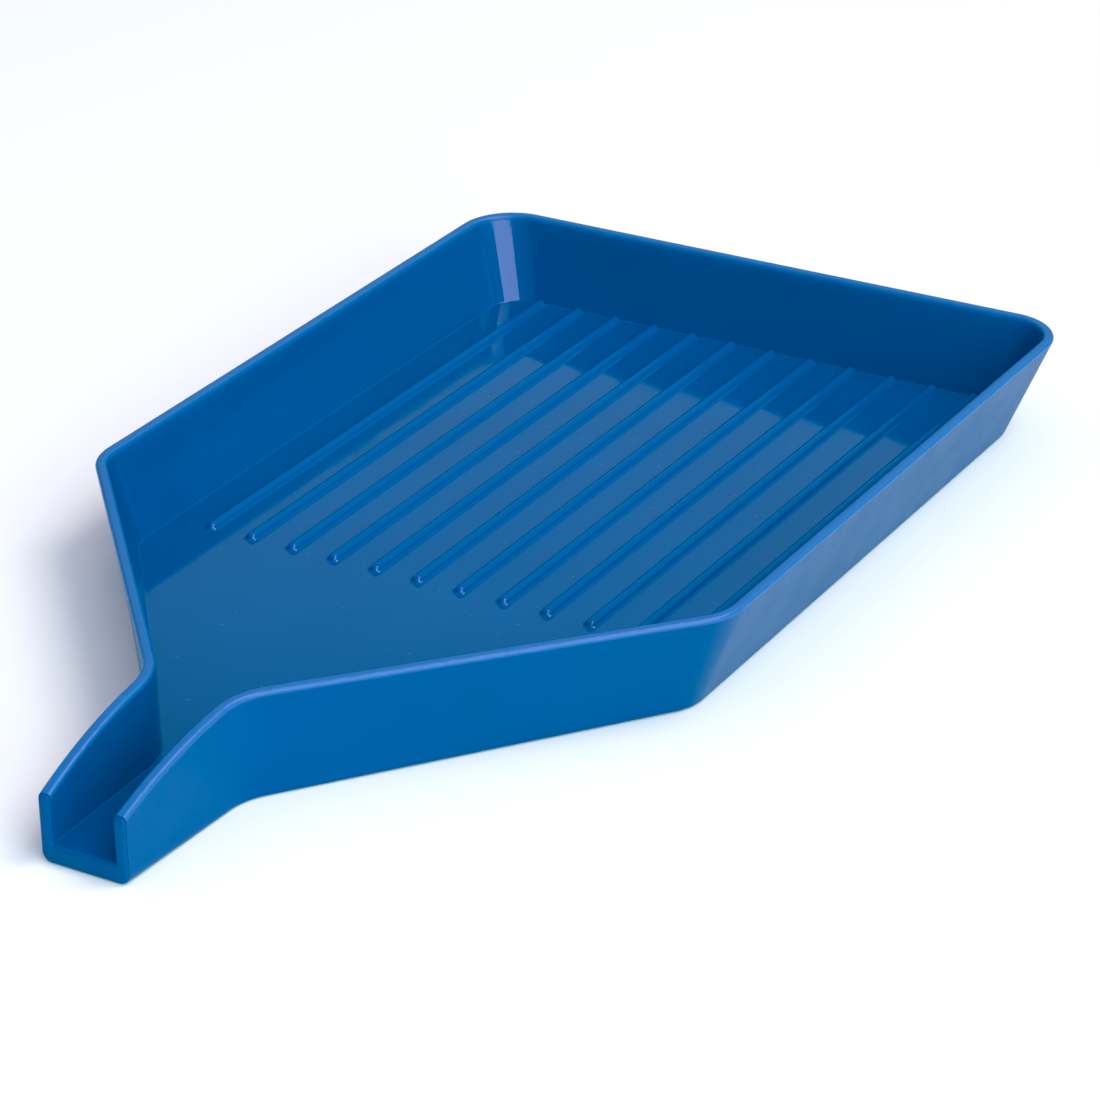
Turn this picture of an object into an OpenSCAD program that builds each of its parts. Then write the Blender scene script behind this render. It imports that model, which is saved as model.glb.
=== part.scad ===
// Sorting tray with a pouring spout: one injection-moulded piece.
// Millimetres. +Z up, +Y towards the back wall, the spout points to -Y, X is across the tray.
// The origin is on the flat underside, midway along the length and on the line of symmetry.

/* [Pan] */
// Length from the spout tip to the back rim
overall_length = 130; // [110:1:160]
// Width across the outside of the rim
rim_width = 72.8; // [58:0.2:90]
// Height of the rim above the table
height = 10.9; // [8:0.1:16]
// Distance from the spout tip to the shoulder corners of the rim
shoulder_distance = 52.2; // [42:0.2:64]

/* [Walls] */
// Wall thickness, measured level
wall = 1.2; // [0.8:0.1:1.8]
// Thickness of the floor
floor_thickness = 1.9; // [1.2:0.1:3]
// How far the side walls lean out from foot to rim
side_lean = 4; // [1:0.05:6]
// How much further in the foot of a side wall stands at the shoulders than at the back
foot_taper = 0; // [0:0.05:1.5]
// How far the back wall leans out from foot to rim
back_lean = 3.8; // [1:0.05:6]
// How far the shoulder corners lean forward from foot to rim
shoulder_lean = 0; // [0:0.05:2]
// Rounding of the rim edges
rim_rounding = 0.4; // [0.1:0.05:0.45]
// Rounding of the underside edge
foot_rounding = 0.4; // [0.1:0.05:0.6]
// Fillet between the floor and the walls
floor_fillet = 0.3; // [0.2:0.05:1]

/* [Corners] */
// Outside corner radius at the rim
rim_corner_radius = 6.2; // [4:0.1:12]
// Outside corner radius at the foot
foot_corner_radius = 5.2; // [2.5:0.1:9]
// Radius of the inward bend where the pan meets the spout
neck_radius = 6.5; // [2:0.5:8]

/* [Spout] */
// Outside width of the spout at the tip
spout_width = 9.3; // [7:0.1:14]
// How much wider the spout is at the neck than at the tip
spout_flare = 1.2; // [0:0.1:4]
// Length of the straight spout channel at the rim
spout_length = 17.5; // [12:0.1:24]
// Height of the spout walls at the tip
tip_height = 6.7; // [3.5:0.1:7.4]
// Rounding of the top corner of each spout wall at the tip
tip_rounding = 0.5; // [0.3:0.1:2]
// How far behind the neck the rim starts to fall
fall_start = 3; // [0:0.1:4]

/* [Ribs] */
// Number of ribs on the floor
rib_count = 12; // [4:1:16]
// Width of a rib at the floor
rib_width = 1.3; // [0.8:0.1:2]
// Distance from the shoulder corners back to the front ends of the ribs
rib_setback = 7; // [4:0.1:14]
// Distance from the foot of a side wall to the nearest rib
rib_side_gap = 4.7; // [2:0.1:8]
// Gap between the back end of a rib and the fillet at the foot of the back wall
rib_end_gap = 0.05; // [0.05:0.05:4]

/* [Hidden] */
arc_steps = 9;
edge_steps = 3;
margin = 3;
tip_y = -overall_length / 2;
back_y = overall_length / 2;
rib_radius = rib_width / 2;
plastic = [0.02, 0.33, 0.66];

// share of the way up the leaning wall at height z; the rounded rim stands at full width
function share(z) = min(1, z / (height - rim_rounding));
function mix(a, b, t) = a + (b - a) * t;
function unit(v) = v / norm(v);

// Corner points of the right half at height z: neck, shoulder, back
function corners(z) = let (t = share(z)) [
    [(spout_width + spout_flare) / 2, tip_y + spout_length],
    [rim_width / 2 - (side_lean + foot_taper) * (1 - t),
     tip_y + shoulder_distance + shoulder_lean * (1 - t)],
    [rim_width / 2 - side_lean * (1 - t), back_y - back_lean * (1 - t)]];
function radii(z) = let (t = share(z), r = mix(foot_corner_radius, rim_corner_radius, t))
    [neck_radius, r, r];

// Inward normal of the edge from a to b, for a path that runs anticlockwise
function inward(a, b) = let (u = unit(b - a)) [-u[1], u[0]];
// Corner p between edges from a and to b, moved in by d
function moved(a, p, b, d) = let (m = inward(a, p), n = inward(p, b)) p + (m + n) * d / (1 + m * n);

// Arc of radius r that rounds corner p; turn is 1 for an outer corner and -1 for the neck
function corner_arc(a, p, b, r, turn) =
    let (u = unit(p - a), v = unit(b - p), bend = acos(u * v),
         c = p - u * r * tan(bend / 2) + turn * r * [-u[1], u[0]],
         start = atan2(-turn * u[0], turn * u[1]))
    [for (i = [0 : arc_steps]) let (q = start + turn * bend * i / arc_steps) c + r * [cos(q), sin(q)]];

// Right half of the outline at height z, moved in by d, from y0 at the tip to the back wall
function right_half(z, d, y0) =
    let (c = corners(z), r = radii(z), first = [spout_width / 2, tip_y], last = [0, c[2][1]],
         k0 = moved(first, c[0], c[1], d), k1 = moved(c[0], c[1], c[2], d),
         k2 = moved(c[1], c[2], last, d), along = c[0] - first,
         s = k0 + along * (y0 - k0[1]) / along[1], e = [0, k2[1]])
    concat([s], corner_arc(s, k0, k1, r[0] + d, -1), corner_arc(k0, k1, k2, r[1] - d, 1),
           corner_arc(k1, k2, e, r[2] - d, 1));
function outline(z, d, y0) = let (h = right_half(z, d, y0), n = len(h))
    concat(h, [for (i = [n - 1 : -1 : 0]) [-h[i][0], h[i][1]]]);

// Solid through the outlines at a list of [height, move in] levels; the two end faces
// are strips across the tray
module stack(levels, y0) {
    rings = [for (l = levels) [for (p = outline(min(max(l[0], 0), height), l[1], y0)) [p[0], p[1], l[0]]]];
    n = len(rings[0]);
    m = len(rings);
    polyhedron(
        points = [for (ring = rings) for (p = ring) p],
        faces = concat(
            [for (i = [0 : n / 2 - 2]) [i, i + 1, n - 2 - i, n - 1 - i]],
            [for (i = [0 : n / 2 - 2]) [for (c = [n - 1 - i, n - 2 - i, i + 1, i]) (m - 1) * n + c]],
            [for (k = [0 : m - 2]) for (i = [0 : n - 1]) let (j = (i + 1) % n)
                each [[k * n + i, (k + 1) * n + i, (k + 1) * n + j], [k * n + i, (k + 1) * n + j, k * n + j]]]),
        convexity = 6);
}

wall_steps = 4;
function quarter(i) = 90 * i / edge_steps;

// Outside of the moulding, filled solid, with rounded foot and rim
module outer_body() {
    foot = [for (i = [0 : edge_steps]) let (q = quarter(i))
        [foot_rounding * (1 - cos(q)), foot_rounding * (1 - sin(q))]];
    middle = [for (i = [1 : wall_steps - 1])
        [mix(foot_rounding, height - rim_rounding, i / wall_steps), 0]];
    rim = [for (i = [0 : edge_steps]) let (q = quarter(i))
        [height - rim_rounding * (1 - sin(q)), rim_rounding * (1 - cos(q))]];
    stack(concat(foot, middle, rim), tip_y);
}

// Space inside the walls, open above and through the spout tip
module inner_space() {
    low = [for (i = [0 : edge_steps]) let (q = quarter(i))
        [floor_thickness + floor_fillet * (1 - cos(q)), wall + floor_fillet * (1 - sin(q))]];
    middle = [for (i = [1 : wall_steps - 1])
        [mix(floor_thickness + floor_fillet, height - rim_rounding, i / wall_steps), wall]];
    rim = [for (i = [0 : edge_steps]) let (q = quarter(i))
        [height - rim_rounding * (1 - sin(q)), wall - rim_rounding * (1 - cos(q))]];
    stack(concat(low, middle, rim, [[height + margin, wall - rim_rounding]]), tip_y - margin);
}

// What is cut away above the falling rim of the spout, as a shape across the tray
fall_length = spout_length + fall_start;
fall_drop = height - tip_height;
fall_radius = (fall_length * fall_length + fall_drop * fall_drop) / (2 * fall_drop);
module spout_rim_cut() {
    big = [tip_y + fall_length, height - fall_radius];
    small = [tip_y + tip_rounding,
        big[1] + sqrt(pow(fall_radius - tip_rounding, 2) - pow(fall_length - tip_rounding, 2))];
    meet = atan2(small[1] - big[1], small[0] - big[0]);
    edge = concat(
        [for (i = [0 : 5]) let (q = mix(180, meet, i / 5)) small + tip_rounding * [cos(q), sin(q)]],
        [for (i = [1 : 16]) let (q = mix(meet, 90, i / 16)) big + fall_radius * [cos(q), sin(q)]]);
    rotate([90, 0, 90])
        linear_extrude(height = spout_width + 2 * margin + 4 * neck_radius, center = true)
            polygon(concat([[tip_y - margin, height + margin], [tip_y - margin, edge[0][1]]], edge,
                           [[big[0], height + margin]]));
}

// Round-topped ribs with ball ends; they stop at the fillet along the foot of the back wall
module ribs() {
    foot_half = rim_width / 2 - (side_lean + foot_taper) * (1 - share(floor_thickness)) - wall;
    span = 2 * (foot_half - rib_side_gap);
    front = tip_y + shoulder_distance + rib_setback;
    back = back_y - back_lean * (1 - share(floor_thickness)) - wall - floor_fillet - rib_radius - rib_end_gap;
    for (i = [0 : rib_count - 1]) translate([span * (i / (rib_count - 1) - 0.5), 0, floor_thickness]) {
        translate([0, front, 0]) rotate([-90, 0, 0]) cylinder(r = rib_radius, h = back - front, $fn = 24);
        translate([0, front, 0]) sphere(r = rib_radius, $fn = 24);
        translate([0, back, 0]) sphere(r = rib_radius, $fn = 24);
    }
}

// The whole tray
module tray() color(plastic) {
    difference() {
        outer_body();
        inner_space();
        spout_rim_cut();
    }
    ribs();
}

tray();
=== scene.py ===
from math import atan2, cos, pi, radians, sin, sqrt, tan

import bmesh
import bpy
from mathutils import Matrix, Vector


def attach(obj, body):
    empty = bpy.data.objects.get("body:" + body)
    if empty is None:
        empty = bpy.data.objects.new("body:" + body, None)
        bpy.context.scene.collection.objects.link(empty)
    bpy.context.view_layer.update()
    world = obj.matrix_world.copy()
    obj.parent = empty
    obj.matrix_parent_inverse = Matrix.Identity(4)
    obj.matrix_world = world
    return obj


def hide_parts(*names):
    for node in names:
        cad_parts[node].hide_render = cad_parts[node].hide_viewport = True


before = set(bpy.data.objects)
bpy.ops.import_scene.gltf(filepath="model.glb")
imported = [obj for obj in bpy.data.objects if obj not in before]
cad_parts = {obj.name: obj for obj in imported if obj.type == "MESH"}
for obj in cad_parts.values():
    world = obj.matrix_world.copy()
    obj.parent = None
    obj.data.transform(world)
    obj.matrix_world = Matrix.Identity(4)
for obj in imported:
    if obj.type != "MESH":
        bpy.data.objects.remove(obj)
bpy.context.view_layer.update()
scene = bpy.context.scene
MM = 0.001

# ---------------------------------------------------------------- sizes, as in the CAD model
LENGTH, RIM_WIDTH, HEIGHT = 130.0, 72.8, 10.9
SHOULDER_DISTANCE, SHOULDER_LEAN = 52.2, 0.0
WALL, FLOOR = 1.2, 1.9
SIDE_LEAN, FOOT_TAPER, BACK_LEAN = 4.0, 0.0, 3.8
RIM_ROUND, FOOT_ROUND, TIP_FOOT_ROUND, FILLET = 0.42, 0.4, 0.9, 0.1
RIM_CORNER, FOOT_CORNER, NECK_RADIUS = 6.2, 5.2, 6.5
SPOUT_WIDTH, SPOUT_FLARE, SPOUT_LENGTH = 9.3, 1.2, 17.5
TIP_HEIGHT, TIP_ROUND, FALL_START = 6.7, 0.5, 3.0
RIB_COUNT, RIB_WIDTH, RIB_HEIGHT = 12, 1.3, 0.65
RIB_SETBACK, RIB_SIDE_GAP = 7.0, 4.7
RIB_TOP_RADIUS, RIB_SIDE_ANGLE = 0.56, 70  # round top, and how steep the sides are below it in degrees
RIB_FLARE = 0.22  # width of the curve that leads each side of a rib onto the floor
RIB_OVERLAP = 0.1  # how far the back ends of the ribs reach into the foot of the back wall
DISH = 10.0  # how sharply the floor between two ribs is dished, per metre
END_ROUND = 0.35  # rounding of the edges round the open spout tip
TIP_Y, BACK_Y = -LENGTH / 2, LENGTH / 2


def mix(a, b, t):
    return a + (b - a) * t


def share(z):
    return min(1.0, z / (HEIGHT - RIM_ROUND))


FOOT_HALF = RIM_WIDTH / 2 - (SIDE_LEAN + FOOT_TAPER) * (1 - share(FLOOR)) - WALL
RIB_PITCH = 2 * (FOOT_HALF - RIB_SIDE_GAP) / (RIB_COUNT - 1)
RIB_FRONT = TIP_Y + SHOULDER_DISTANCE + RIB_SETBACK


# ---------------------------------------------------------------- outline of the walls
def unit(x, y):
    n = sqrt(x * x + y * y)
    return x / n, y / n


def moved(a, p, b, d):
    """Corner p between edges from a and to b, moved inwards by d."""
    ux, uy = unit(p[0] - a[0], p[1] - a[1])
    vx, vy = unit(b[0] - p[0], b[1] - p[1])
    mx, my, nx, ny = -uy, ux, -vy, vx
    k = d / (1 + mx * nx + my * ny)
    return p[0] + (mx + nx) * k, p[1] + (my + ny) * k


def arc(a, p, b, r, turn, steps):
    """Arc of radius r that rounds corner p."""
    ux, uy = unit(p[0] - a[0], p[1] - a[1])
    vx, vy = unit(b[0] - p[0], b[1] - p[1])
    bend = atan2(abs(ux * vy - uy * vx), ux * vx + uy * vy)
    t = r * tan(bend / 2)
    cx, cy = p[0] - ux * t - turn * r * uy, p[1] - uy * t + turn * r * ux
    start = atan2(-turn * ux, turn * uy)
    angles = [start + turn * bend * i / steps for i in range(steps + 1)]
    return [(cx + r * cos(q), cy + r * sin(q)) for q in angles]


# steps of each round stretch and parts of each straight one
ROUND_STEPS, TURNS, TOP_STEP, FLARE_STEPS = 5, 24, 10, 7
NECK_STEPS, SHOULDER_STEPS, CORNER_STEPS = 14, 14, 22
SHOULDER_PARTS, SIDE_PARTS, BACK_PARTS = 28, 24, 12
FILLET_STEPS, RIM_STEPS, FOOT_STEPS = 8, 7, 6
# distances along the spout, close together near the tip where its edges are rounded
NEAR = [END_ROUND * (1 - cos(pi / 2 * i / ROUND_STEPS)) for i in range(ROUND_STEPS + 1)]
SPOUT_Y = NEAR + [0.34, 0.45, 0.58, 0.72, 0.9, 1.1] + [1.5 + 0.6 * i for i in range(20)]


def half_outline(z, d):
    """Right half of the outline at height z, moved in by d, from the tip to the middle of the back."""
    s = 1 - share(z)
    first = (SPOUT_WIDTH / 2, TIP_Y)
    neck = ((SPOUT_WIDTH + SPOUT_FLARE) / 2, TIP_Y + SPOUT_LENGTH)
    shoulder = (RIM_WIDTH / 2 - (SIDE_LEAN + FOOT_TAPER) * s,
                TIP_Y + SHOULDER_DISTANCE + SHOULDER_LEAN * s)
    back = (RIM_WIDTH / 2 - SIDE_LEAN * s, BACK_Y - BACK_LEAN * s)
    r = mix(FOOT_CORNER, RIM_CORNER, share(z))
    k0, k1 = moved(first, neck, shoulder, d), moved(neck, shoulder, back, d)
    k2 = moved(shoulder, back, (0.0, back[1]), d)
    slope = (neck[0] - first[0]) / (neck[1] - first[1])
    tip, end = (k0[0] + (TIP_Y - k0[1]) * slope, TIP_Y), (0.0, k2[1])
    a0 = arc(tip, k0, k1, NECK_RADIUS + d, -1, NECK_STEPS)
    a1 = arc(k0, k1, k2, r - d, 1, SHOULDER_STEPS)
    a2 = arc(k1, k2, end, r - d, 1, CORNER_STEPS)
    pts = [(tip[0] + y * slope, TIP_Y + y) for y in SPOUT_Y]

    def between(p, q, n):
        return [(mix(p[0], q[0], i / n), mix(p[1], q[1], i / n)) for i in range(1, n)]

    pts += a0 + between(a0[-1], a1[0], SHOULDER_PARTS)
    pts += a1 + between(a1[-1], a2[0], SIDE_PARTS)
    pts += a2 + between(a2[-1], end, BACK_PARTS) + [end]
    return pts


# ---------------------------------------------------------------- height of the rim along the outline
# a large arc that falls from the full height, and a small one at the top of the tip that meets it
FALL, DROP = SPOUT_LENGTH + FALL_START, HEIGHT - TIP_HEIGHT
FALL_R = (FALL * FALL + DROP * DROP) / (2 * DROP)
BIG = (FALL, HEIGHT - FALL_R)
SMALL = (TIP_ROUND, BIG[1] + sqrt((FALL_R - TIP_ROUND) ** 2 - (FALL - TIP_ROUND) ** 2))
MEET = BIG[0] + FALL_R * (SMALL[0] - BIG[0]) / (FALL_R - TIP_ROUND)


def rim_height(y):
    """Height of the rim at a distance y from the spout tip."""
    if y >= FALL:
        return HEIGHT
    if y < MEET:
        return SMALL[1] + sqrt(max(0.0, TIP_ROUND ** 2 - (SMALL[0] - y) ** 2))
    return BIG[1] + sqrt(FALL_R ** 2 - (BIG[0] - y) ** 2)


# ---------------------------------------------------------------- the shell
STRAIGHT = (0.02, 0.06, 0.14, 0.26, 0.4, 0.55, 0.7, 0.83, 0.92, 0.97)  # shares of the way up a wall
RIM_FLAT = 0.03  # least half width of the flat top left between the two roundings of the rim
FLOOR_MARGIN, UNDERSIDE_MARGIN = 0.25, 0.4  # flat strips beside the fillet and beside the foot rounding
INSIDE, EDGE, OUTSIDE = 0.0, 1.0, 2.0  # which side of the wall a point is on, for the finish


def section(h, e, foot):
    """(height, distance in, side) from the floor, over the rim and down to the underside, for rim
    height h, end rounding e and foot rounding foot."""
    out = [(FLOOR - e, WALL - e + FILLET + FLOOR_MARGIN, INSIDE)]
    rim = min(RIM_ROUND, WALL / 2 - e - RIM_FLAT)
    for i in range(FILLET_STEPS + 1):
        q = pi / 2 * i / FILLET_STEPS
        out.append((FLOOR - e + FILLET * (1 - cos(q)), WALL - e + FILLET * (1 - sin(q)), INSIDE))
    low, top = FLOOR + FILLET - e, h - rim - e
    for t in STRAIGHT:
        out.append((mix(low, top, t), WALL - e, max(INSIDE, 2.5 * t - 2.0)))
    for i in range(RIM_STEPS + 1):
        q = pi / 2 * i / RIM_STEPS
        out.append((h - rim * (1 - sin(q)) - e, WALL - e - rim * (1 - cos(q)), EDGE))
    for i in range(RIM_STEPS, -1, -1):
        q = pi / 2 * i / RIM_STEPS
        out.append((h - rim * (1 - sin(q)) - e, e + rim * (1 - cos(q)), EDGE))
    for t in reversed(STRAIGHT):
        out.append((mix(foot + e, top, t), e, OUTSIDE))
    for i in range(FOOT_STEPS, -1, -1):
        q = pi / 2 * i / FOOT_STEPS
        out.append((e + foot * (1 - cos(q)), e + foot * (1 - sin(q)), OUTSIDE))
    out.append((e, e + foot + UNDERSIDE_MARGIN, OUTSIDE))
    if e > 0:  # the end of the spout is satin like the outside
        out = [(z, d, OUTSIDE) for z, d, _ in out]
    return out


def build_shell():
    """Walls swept along the outline with one section per station, closed by the floor, the underside
    and the face at the spout tip."""
    rim = half_outline(HEIGHT, 0)
    n = len(rim)
    ends = [END_ROUND * (1 - sin(pi / 2 * i / ROUND_STEPS)) for i in range(ROUND_STEPS + 1)]
    cache = {}

    def at(i, z, d):
        key = (round(z, 6), round(d, 6))
        if key not in cache:
            cache[key] = half_outline(z, d)
        x, y = cache[key][i]
        return x, y, z

    # the right half, then the left one as its mirror image; both share the middle of the back
    verts, sides, rows = [], [], []
    for i in range(n):
        e = ends[i] if i < len(ends) else 0.0
        y = rim[i][1] - TIP_Y
        foot = mix(TIP_FOOT_ROUND, FOOT_ROUND, min(1.0, y / SPOUT_LENGTH))
        row = []
        for z, d, side in section(rim_height(y), e, foot):
            row.append(len(verts))
            verts.append(at(i, z, d))
            sides.append(side)
        rows.append(row)
    m = len(rows[0])
    left = []
    for i in range(n - 1):
        row = []
        for j in range(m):
            x, y, z = verts[rows[i][j]]
            row.append(len(verts))
            verts.append((-x, y, z))
            sides.append(sides[rows[i][j]])
        left.append(row)
    left.append(rows[n - 1])
    # walls
    faces = []
    for i in range(n - 1):
        for j in range(m - 1):
            a, b, c, d = rows[i][j], rows[i + 1][j], rows[i + 1][j + 1], rows[i][j + 1]
            faces.append((a, d, c, b))
            a, b, c, d = left[i][j], left[i + 1][j], left[i + 1][j + 1], left[i][j + 1]
            faces.append((a, b, c, d))
    # floor and underside as strips across the tray, each ended by one face inside the back corners
    last = n - 1 - BACK_PARTS  # where the back corner ends and the straight back wall begins
    for i in range(last - 1):
        faces.append((rows[i][0], rows[i + 1][0], left[i + 1][0], left[i][0]))
        faces.append((rows[i][-1], left[i][-1], left[i + 1][-1], rows[i + 1][-1]))
    for j, flip in ((0, False), (m - 1, True)):
        ring = [rows[i][j] for i in range(last - 1, n)]
        ring += [left[i][j] for i in range(n - 2, last - 2, -1)]
        faces.append(tuple(reversed(ring)) if flip else tuple(ring))
    tip = [rows[0][j] for j in range(m)] + [left[0][j] for j in range(m - 1, -1, -1)]
    faces.append(tuple(tip))
    return verts, faces, sides, [0.0] * len(verts)


# ---------------------------------------------------------------- ribs
def rib_profile():
    """(distance from the middle, height above the floor) down one side: round top, then a flare."""
    r, steep = RIB_TOP_RADIUS, radians(RIB_SIDE_ANGLE)
    out = []
    for a in range(0, RIB_SIDE_ANGLE + 1, TOP_STEP):
        out.append((r * sin(radians(a)), RIB_HEIGHT - r * (1 - cos(radians(a)))))
    x0, z0 = out[-1]
    # quadratic curve that leaves along the side of the rib and lands flat on the floor
    run = z0 / tan(steep)
    px, pz = x0 + run * 0.8, z0 * 0.2
    qx = x0 + RIB_FLARE + run
    for i in range(1, FLARE_STEPS + 1):
        t = i / FLARE_STEPS
        out.append(((1 - t) ** 2 * x0 + 2 * t * (1 - t) * px + t * t * qx,
                    (1 - t) ** 2 * z0 + 2 * t * (1 - t) * pz))
    # just under the floor, then down into it
    out.append((out[-1][0] + 0.06, -0.012))
    out.append((out[-1][0] + 0.02, -0.3))
    return out


def build_ribs():
    """Round-topped bars with a ball at each end, sunk a little into the floor."""
    profile = rib_profile()
    wall_foot = BACK_Y - BACK_LEAN * (1 - share(FLOOR)) - WALL
    ends = (RIB_FRONT, wall_foot - RIB_WIDTH / 2 + RIB_OVERLAP)
    verts, faces, crest = [], [], []
    for k in range(RIB_COUNT):
        cx = RIB_PITCH * (k - (RIB_COUNT - 1) / 2)
        crown = len(verts)
        for y in ends:
            verts.append((cx, y, FLOOR + profile[0][1]))
            crest.append(1.0)
        # half turns round the front end and then the back one
        rows = []
        for end, y in enumerate(ends):
            for i in range(TURNS + 1):
                a = pi * (end + i / TURNS)
                row = []
                for u, h in profile[1:]:
                    row.append(len(verts))
                    verts.append((cx + u * cos(a), y - u * sin(a), FLOOR + h))
                    crest.append(max(0.0, min(1.0, h / (0.6 * RIB_HEIGHT))))
                rows.append(row)
        for i in range(len(rows)):
            p, q = rows[i], rows[(i + 1) % len(rows)]
            end = crown + (i > TURNS)  # top of the ball that this step belongs to
            if (i + 1) % (TURNS + 1):
                faces.append((end, q[0], p[0]))
            else:
                faces.append((end, 2 * crown + 1 - end, q[0], p[0]))
            for j in range(len(p) - 1):
                faces.append((p[j], q[j], q[j + 1], p[j + 1]))
        faces.append(tuple(row[-1] for row in rows))
    return verts, faces, [INSIDE] * len(verts), crest


def make_piece(name, parts):
    """One mesh from several closed parts, with the side and crest of each point kept as attributes."""
    verts, faces, sides, crests = [], [], [], []
    for v, f, side, crest in parts:
        base = len(verts)
        verts += [(x * MM, y * MM, z * MM) for x, y, z in v]
        faces += [tuple(i + base for i in face) for face in f]
        sides += side
        crests += crest
    mesh = bpy.data.meshes.new(name)
    mesh.from_pydata(verts, [], faces)
    for label, values in (("side", sides), ("crest", crests)):
        mesh.attributes.new(label, "FLOAT", "POINT").data.foreach_set("value", values)
    bm = bmesh.new()
    bm.from_mesh(mesh)
    bmesh.ops.recalc_face_normals(bm, faces=bm.faces)
    bm.to_mesh(mesh)
    bm.free()
    for p in mesh.polygons:
        p.use_smooth = True
    obj = bpy.data.objects.new(name, mesh)
    scene.collection.objects.link(obj)
    return obj


# ---------------------------------------------------------------- camera
def place_camera(azimuth, elevation, roll, place, focal):
    """Camera at place, on the side azimuth and elevation give, turned by roll about its own axis."""
    az, el, ro = radians(azimuth), radians(elevation), radians(roll)
    back = Vector((sin(az) * cos(el), -cos(az) * cos(el), sin(el)))
    right = Vector((cos(az), sin(az), 0.0))
    up = back.cross(right)
    r, u = right * cos(ro) + up * sin(ro), up * cos(ro) - right * sin(ro)
    data = bpy.data.cameras.new("camera")
    data.sensor_width = 36.0
    data.lens = focal
    data.clip_start = 0.01
    cam = bpy.data.objects.new("camera", data)
    m = Matrix((r, u, back)).transposed().to_4x4()
    m.translation = Vector(place)
    cam.matrix_world = m
    scene.collection.objects.link(cam)
    scene.camera = cam


place_camera(30.745, 26.492, -0.868, (0.189646, -0.303079, 0.181376), 130.865)


# ---------------------------------------------------------------- material
class Nodes:
    """Short calls for a material's maths nodes."""

    def __init__(self, tree):
        self.nodes, self.links = tree.nodes, tree.links

    def put(self, socket, value):
        if isinstance(value, bpy.types.NodeSocket):
            self.links.new(value, socket)
        else:
            socket.default_value = value

    def math(self, op, a, b=0.0):
        node = self.nodes.new("ShaderNodeMath")
        node.operation = op
        self.put(node.inputs[0], a)
        self.put(node.inputs[1], b)
        return node.outputs[0]

    def ramp(self, value, low, high, to_low=0.0, to_high=1.0):
        """value from low to high, turned smoothly into to_low to to_high."""
        node = self.nodes.new("ShaderNodeMapRange")
        node.interpolation_type = "SMOOTHSTEP"
        limits = {"From Min": low, "From Max": high, "To Min": to_low, "To Max": to_high}
        for name, number in limits.items():
            self.put(node.inputs[name], number)
        self.put(node.inputs["Value"], value)
        return node.outputs["Result"]

    def noise(self, place, scale, detail=2.0):
        node = self.nodes.new("ShaderNodeTexNoise")
        node.inputs["Scale"].default_value = scale
        node.inputs["Detail"].default_value = detail
        self.put(node.inputs["Vector"], place)
        return node.outputs["Fac"]

    def blend(self, factor, a, b):
        node = self.nodes.new("ShaderNodeMix")
        node.data_type = "RGBA"
        self.put(node.inputs["Factor"], factor)
        self.put(node.inputs["A"], a)
        self.put(node.inputs["B"], b)
        return node.outputs["Result"]

    def value(self, name):
        node = self.nodes.new("ShaderNodeAttribute")
        node.attribute_name = name
        return node.outputs["Fac"]

    def specks(self, place, turn, long, wide, size, share):
        """Marks scattered over the floor, turned by turn degrees: one in a share of the cells, which
        are long by wide millimetres. size is the mark's half length as a share of the cell's."""
        spot = self.nodes.new("ShaderNodeMapping")
        spot.inputs["Rotation"].default_value = (0, 0, radians(turn))
        spot.inputs["Scale"].default_value = (1 / (long * MM), 1 / (wide * MM), 1)
        self.put(spot.inputs["Vector"], place)
        cells = self.nodes.new("ShaderNodeTexVoronoi")
        cells.voronoi_dimensions = "2D"
        cells.inputs["Scale"].default_value = 1.0
        self.put(cells.inputs["Vector"], spot.outputs["Vector"])
        pick = self.nodes.new("ShaderNodeSeparateColor")
        self.put(pick.inputs["Color"], cells.outputs["Color"])
        mark = self.ramp(cells.outputs["Distance"], size, 0.6 * size)
        return self.math("MULTIPLY", mark, self.math("LESS_THAN", pick.outputs["Red"], share))


# linear colours of the plastic, of the painted highlights on the rib crests and on the rim, and of the
# lint on it
BLUE_DEEP, BLUE = (0.0, 0.061, 0.202, 1), (0.0, 0.066, 0.218, 1)
BLUE_CREST_PAINTED_HIGHLIGHT, BLUE_RIM_PAINTED_HIGHLIGHT = (0.0, 0.071, 0.234, 1), (0.03, 0.112, 0.31, 1)
LINT = (0.20, 0.34, 0.55, 1)
# relief of the rim's nicks and of the outside grain
NICK_DEPTH, GRAIN_DEPTH = 0.03 * MM, 0.004 * MM
DISH_START = 6  # distance over which the dish sets in behind the front ends of the ribs


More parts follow.
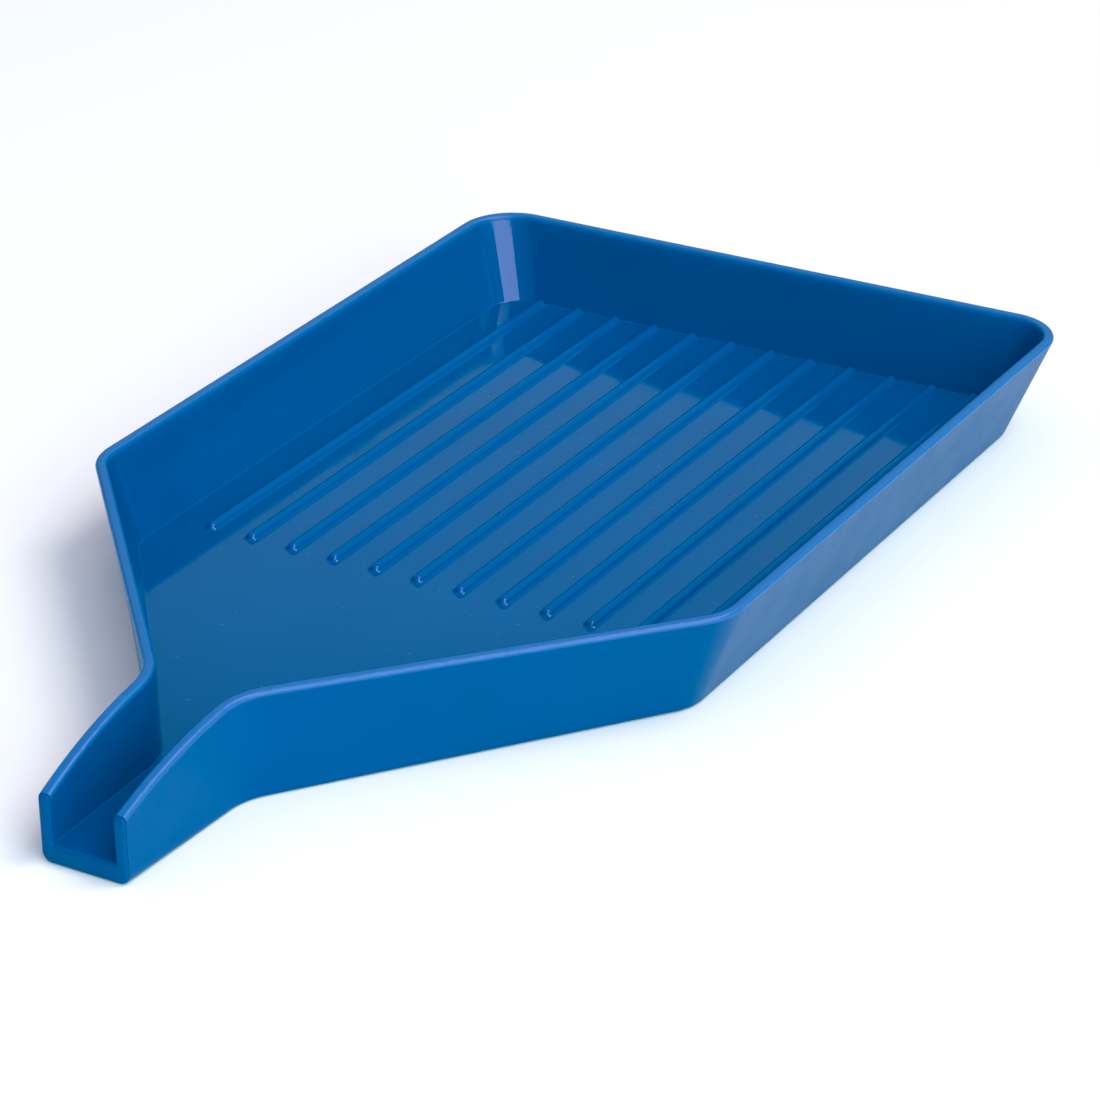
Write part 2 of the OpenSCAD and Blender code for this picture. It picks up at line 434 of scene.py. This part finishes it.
def plastic():
    """Glossy blue plastic; side and crest on the mesh say where its finish changes and where painted
    highlights go on the rim and the rib crests.
    """
    mat = bpy.data.materials.new("blue_gloss_plastic")
    mat.use_nodes = True
    bsdf = mat.node_tree.nodes["Principled BSDF"]
    n = Nodes(mat.node_tree)
    coord = n.nodes.new("ShaderNodeTexCoord").outputs["Object"]
    place = n.nodes.new("ShaderNodeSeparateXYZ")
    n.put(place.inputs[0], coord)
    x, y, z = place.outputs
    side, crest = n.value("side"), n.value("crest")
    inside = n.ramp(side, 0.6, 0.1)
    on_floor = n.math("MULTIPLY", n.ramp(z, (FLOOR + 0.12) * MM, (FLOOR + 0.02) * MM), inside)
    edge = n.math("SUBTRACT", 1.0, n.math("ABSOLUTE", n.math("SUBTRACT", side, EDGE)))
    outside = n.ramp(side, 1.2, 1.8)

    # colour: slight cloudiness in the pigment, a painted highlight that makes the rib crests lighter, a
    # painted highlight on the rim edge, a little lint on the floor
    colour = n.blend(n.ramp(n.noise(coord, 60.0, 3.0), 0.3, 0.7), BLUE_DEEP, BLUE)
    # painted highlight: the rib crests are painted lighter, standing in for the bright dome reflected
    # in their tops
    colour = n.blend(crest, colour, BLUE_CREST_PAINTED_HIGHLIGHT)
    # painted highlight: the rim edge is painted lighter, standing in for a soft sheen along the rim
    colour = n.blend(n.math("MULTIPLY", edge, edge), colour, BLUE_RIM_PAINTED_HIGHLIGHT)
    lint = n.specks(coord, 0, 5.0, 5.0, 0.016, 0.3)
    for turn in (22, 58, 80):
        lint = n.math("MAXIMUM", lint, n.specks(coord, turn, 30.0, 1.5, 0.016, 0.05))
    lint = n.math("MULTIPLY", lint, on_floor)
    colour = n.blend(n.math("MULTIPLY", lint, 0.4), colour, LINT)
    n.put(bsdf.inputs["Base Color"], colour)

    # roughness: crisp inside, satin outside, dull on the worn rim, with faint duller patches everywhere
    rough = n.ramp(n.noise(coord, 220.0, 4.0), 0.35, 0.7, 0.05, 0.09)
    rough = n.math("ADD", rough, n.math("MULTIPLY", edge, 0.32))
    rough = n.math("ADD", rough, n.math("MULTIPLY", outside, 0.35))
    rough = n.math("ADD", rough, n.math("MULTIPLY", crest, 0.06))
    rough = n.math("ADD", rough, n.math("MULTIPLY", lint, 0.3))
    n.put(bsdf.inputs["Roughness"], rough)
    bsdf.inputs["IOR"].default_value = 1.5
    bsdf.inputs["Specular Tint"].default_value = (1.0, 0.6, 1.0, 1)

    # relief in metres: the floor between two ribs is very slightly dished, and the rim has faint nicks
    pitch = RIB_PITCH * MM
    # distance from the middle of a channel; 100 is added because FRACT is wanted of a positive number
    across = n.math("ADD", n.math("DIVIDE", x, pitch), 100.5)
    across = n.math("MULTIPLY", n.math("SUBTRACT", n.math("FRACT", across), 0.5), pitch)
    dish = n.math("MULTIPLY", n.math("MULTIPLY", across, across), 0.5 * DISH)
    dish = n.math("MULTIPLY", dish, n.ramp(y, RIB_FRONT * MM, (RIB_FRONT + DISH_START) * MM))
    dish = n.math("MULTIPLY", dish, on_floor)
    nicks = n.ramp(n.noise(coord, 700.0, 3.0), 0.35, 0.65, 0.0, NICK_DEPTH)
    grain = n.ramp(n.noise(coord, 2500.0, 2.0), 0.2, 0.8, 0.0, GRAIN_DEPTH)
    relief = n.math("ADD", dish, n.math("MULTIPLY", nicks, edge))
    relief = n.math("ADD", relief, n.math("MULTIPLY", grain, outside))
    bump = n.nodes.new("ShaderNodeBump")
    bump.inputs["Strength"].default_value = 1.0
    bump.inputs["Distance"].default_value = 1.0
    n.put(bump.inputs["Height"], relief)
    n.put(bsdf.inputs["Normal"], bump.outputs["Normal"])
    return mat


tray = make_piece("tray_moulding", [build_shell(), build_ribs()])
tray.data.materials.append(plastic())
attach(tray, "root")
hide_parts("tray")


# ---------------------------------------------------------------- floor and light
FLOOR_HALF = 6.0  # half width of the studio floor
FLOOR_GAP = 0.05 * MM  # it lies just below the underside, so that the two faces don't coincide


def plain(name, colour, roughness):
    mat = bpy.data.materials.new(name)
    mat.use_nodes = True
    b = mat.node_tree.nodes["Principled BSDF"]
    b.inputs["Base Color"].default_value = (*colour, 1)
    b.inputs["Roughness"].default_value = roughness
    b.inputs["Specular IOR Level"].default_value = 0.2
    return mat


floor_mesh = bpy.data.meshes.new("studio_floor")
floor_corners = [(FLOOR_HALF * u, FLOOR_HALF * v, 0) for u, v in ((-1, -1), (1, -1), (1, 1), (-1, 1))]
floor_mesh.from_pydata(floor_corners, [], [(0, 1, 2, 3)])
floor = bpy.data.objects.new("studio_floor", floor_mesh)
floor.location.z = -FLOOR_GAP
scene.collection.objects.link(floor)
floor_mesh.materials.append(plain("studio_floor", (0.84, 0.83, 0.81), 0.9))

# studio dome: dim at the horizon, cool and bright above it
world = bpy.data.worlds.new("studio")
world.use_nodes = True
wn, wl = world.node_tree.nodes, world.node_tree.links
sky = wn.new("ShaderNodeTexCoord")
split = wn.new("ShaderNodeSeparateXYZ")
wl.new(sky.outputs["Generated"], split.inputs[0])
height = wn.new("ShaderNodeValToRGB")
height.color_ramp.elements[0].position = 0.18
height.color_ramp.elements[0].color = (0.06, 0.06, 0.08, 1)
height.color_ramp.elements[1].position = 0.34
height.color_ramp.elements[1].color = (0.86, 0.80, 1.0, 1)
wl.new(split.outputs["Z"], height.inputs["Fac"])
wl.new(height.outputs["Color"], wn["Background"].inputs["Color"])
wn["Background"].inputs["Strength"].default_value = 0.78
scene.world = world


def area(name, place, size, colour, power):
    """Rectangular lamp at place, aimed at the middle of the tray."""
    data = bpy.data.lights.new(name, "AREA")
    data.shape = "RECTANGLE"
    data.size, data.size_y = size
    data.energy = power
    data.color = colour
    obj = bpy.data.objects.new(name, data)
    obj.location = place
    obj.rotation_euler = (-Vector(place)).to_track_quat("-Z", "Y").to_euler()
    scene.collection.objects.link(obj)


area("side_panel", (0.80, -0.50, 0.50), (0.9, 0.85), (0.64, 0.93, 1.0), 12.0)
area("key", (0.56, 0.24, 1.04), (0.55, 0.55), (1.0, 1.0, 0.96), 6.7)

scene.view_settings.view_transform = "Standard"
scene.view_settings.look = "None"
# the camera's response: its red channel stays at black until there is this much red light
scene.view_settings.use_curve_mapping = True
scene.view_settings.curve_mapping.black_level = (0.06, 0.0, 0.0)
scene.view_settings.curve_mapping.update()
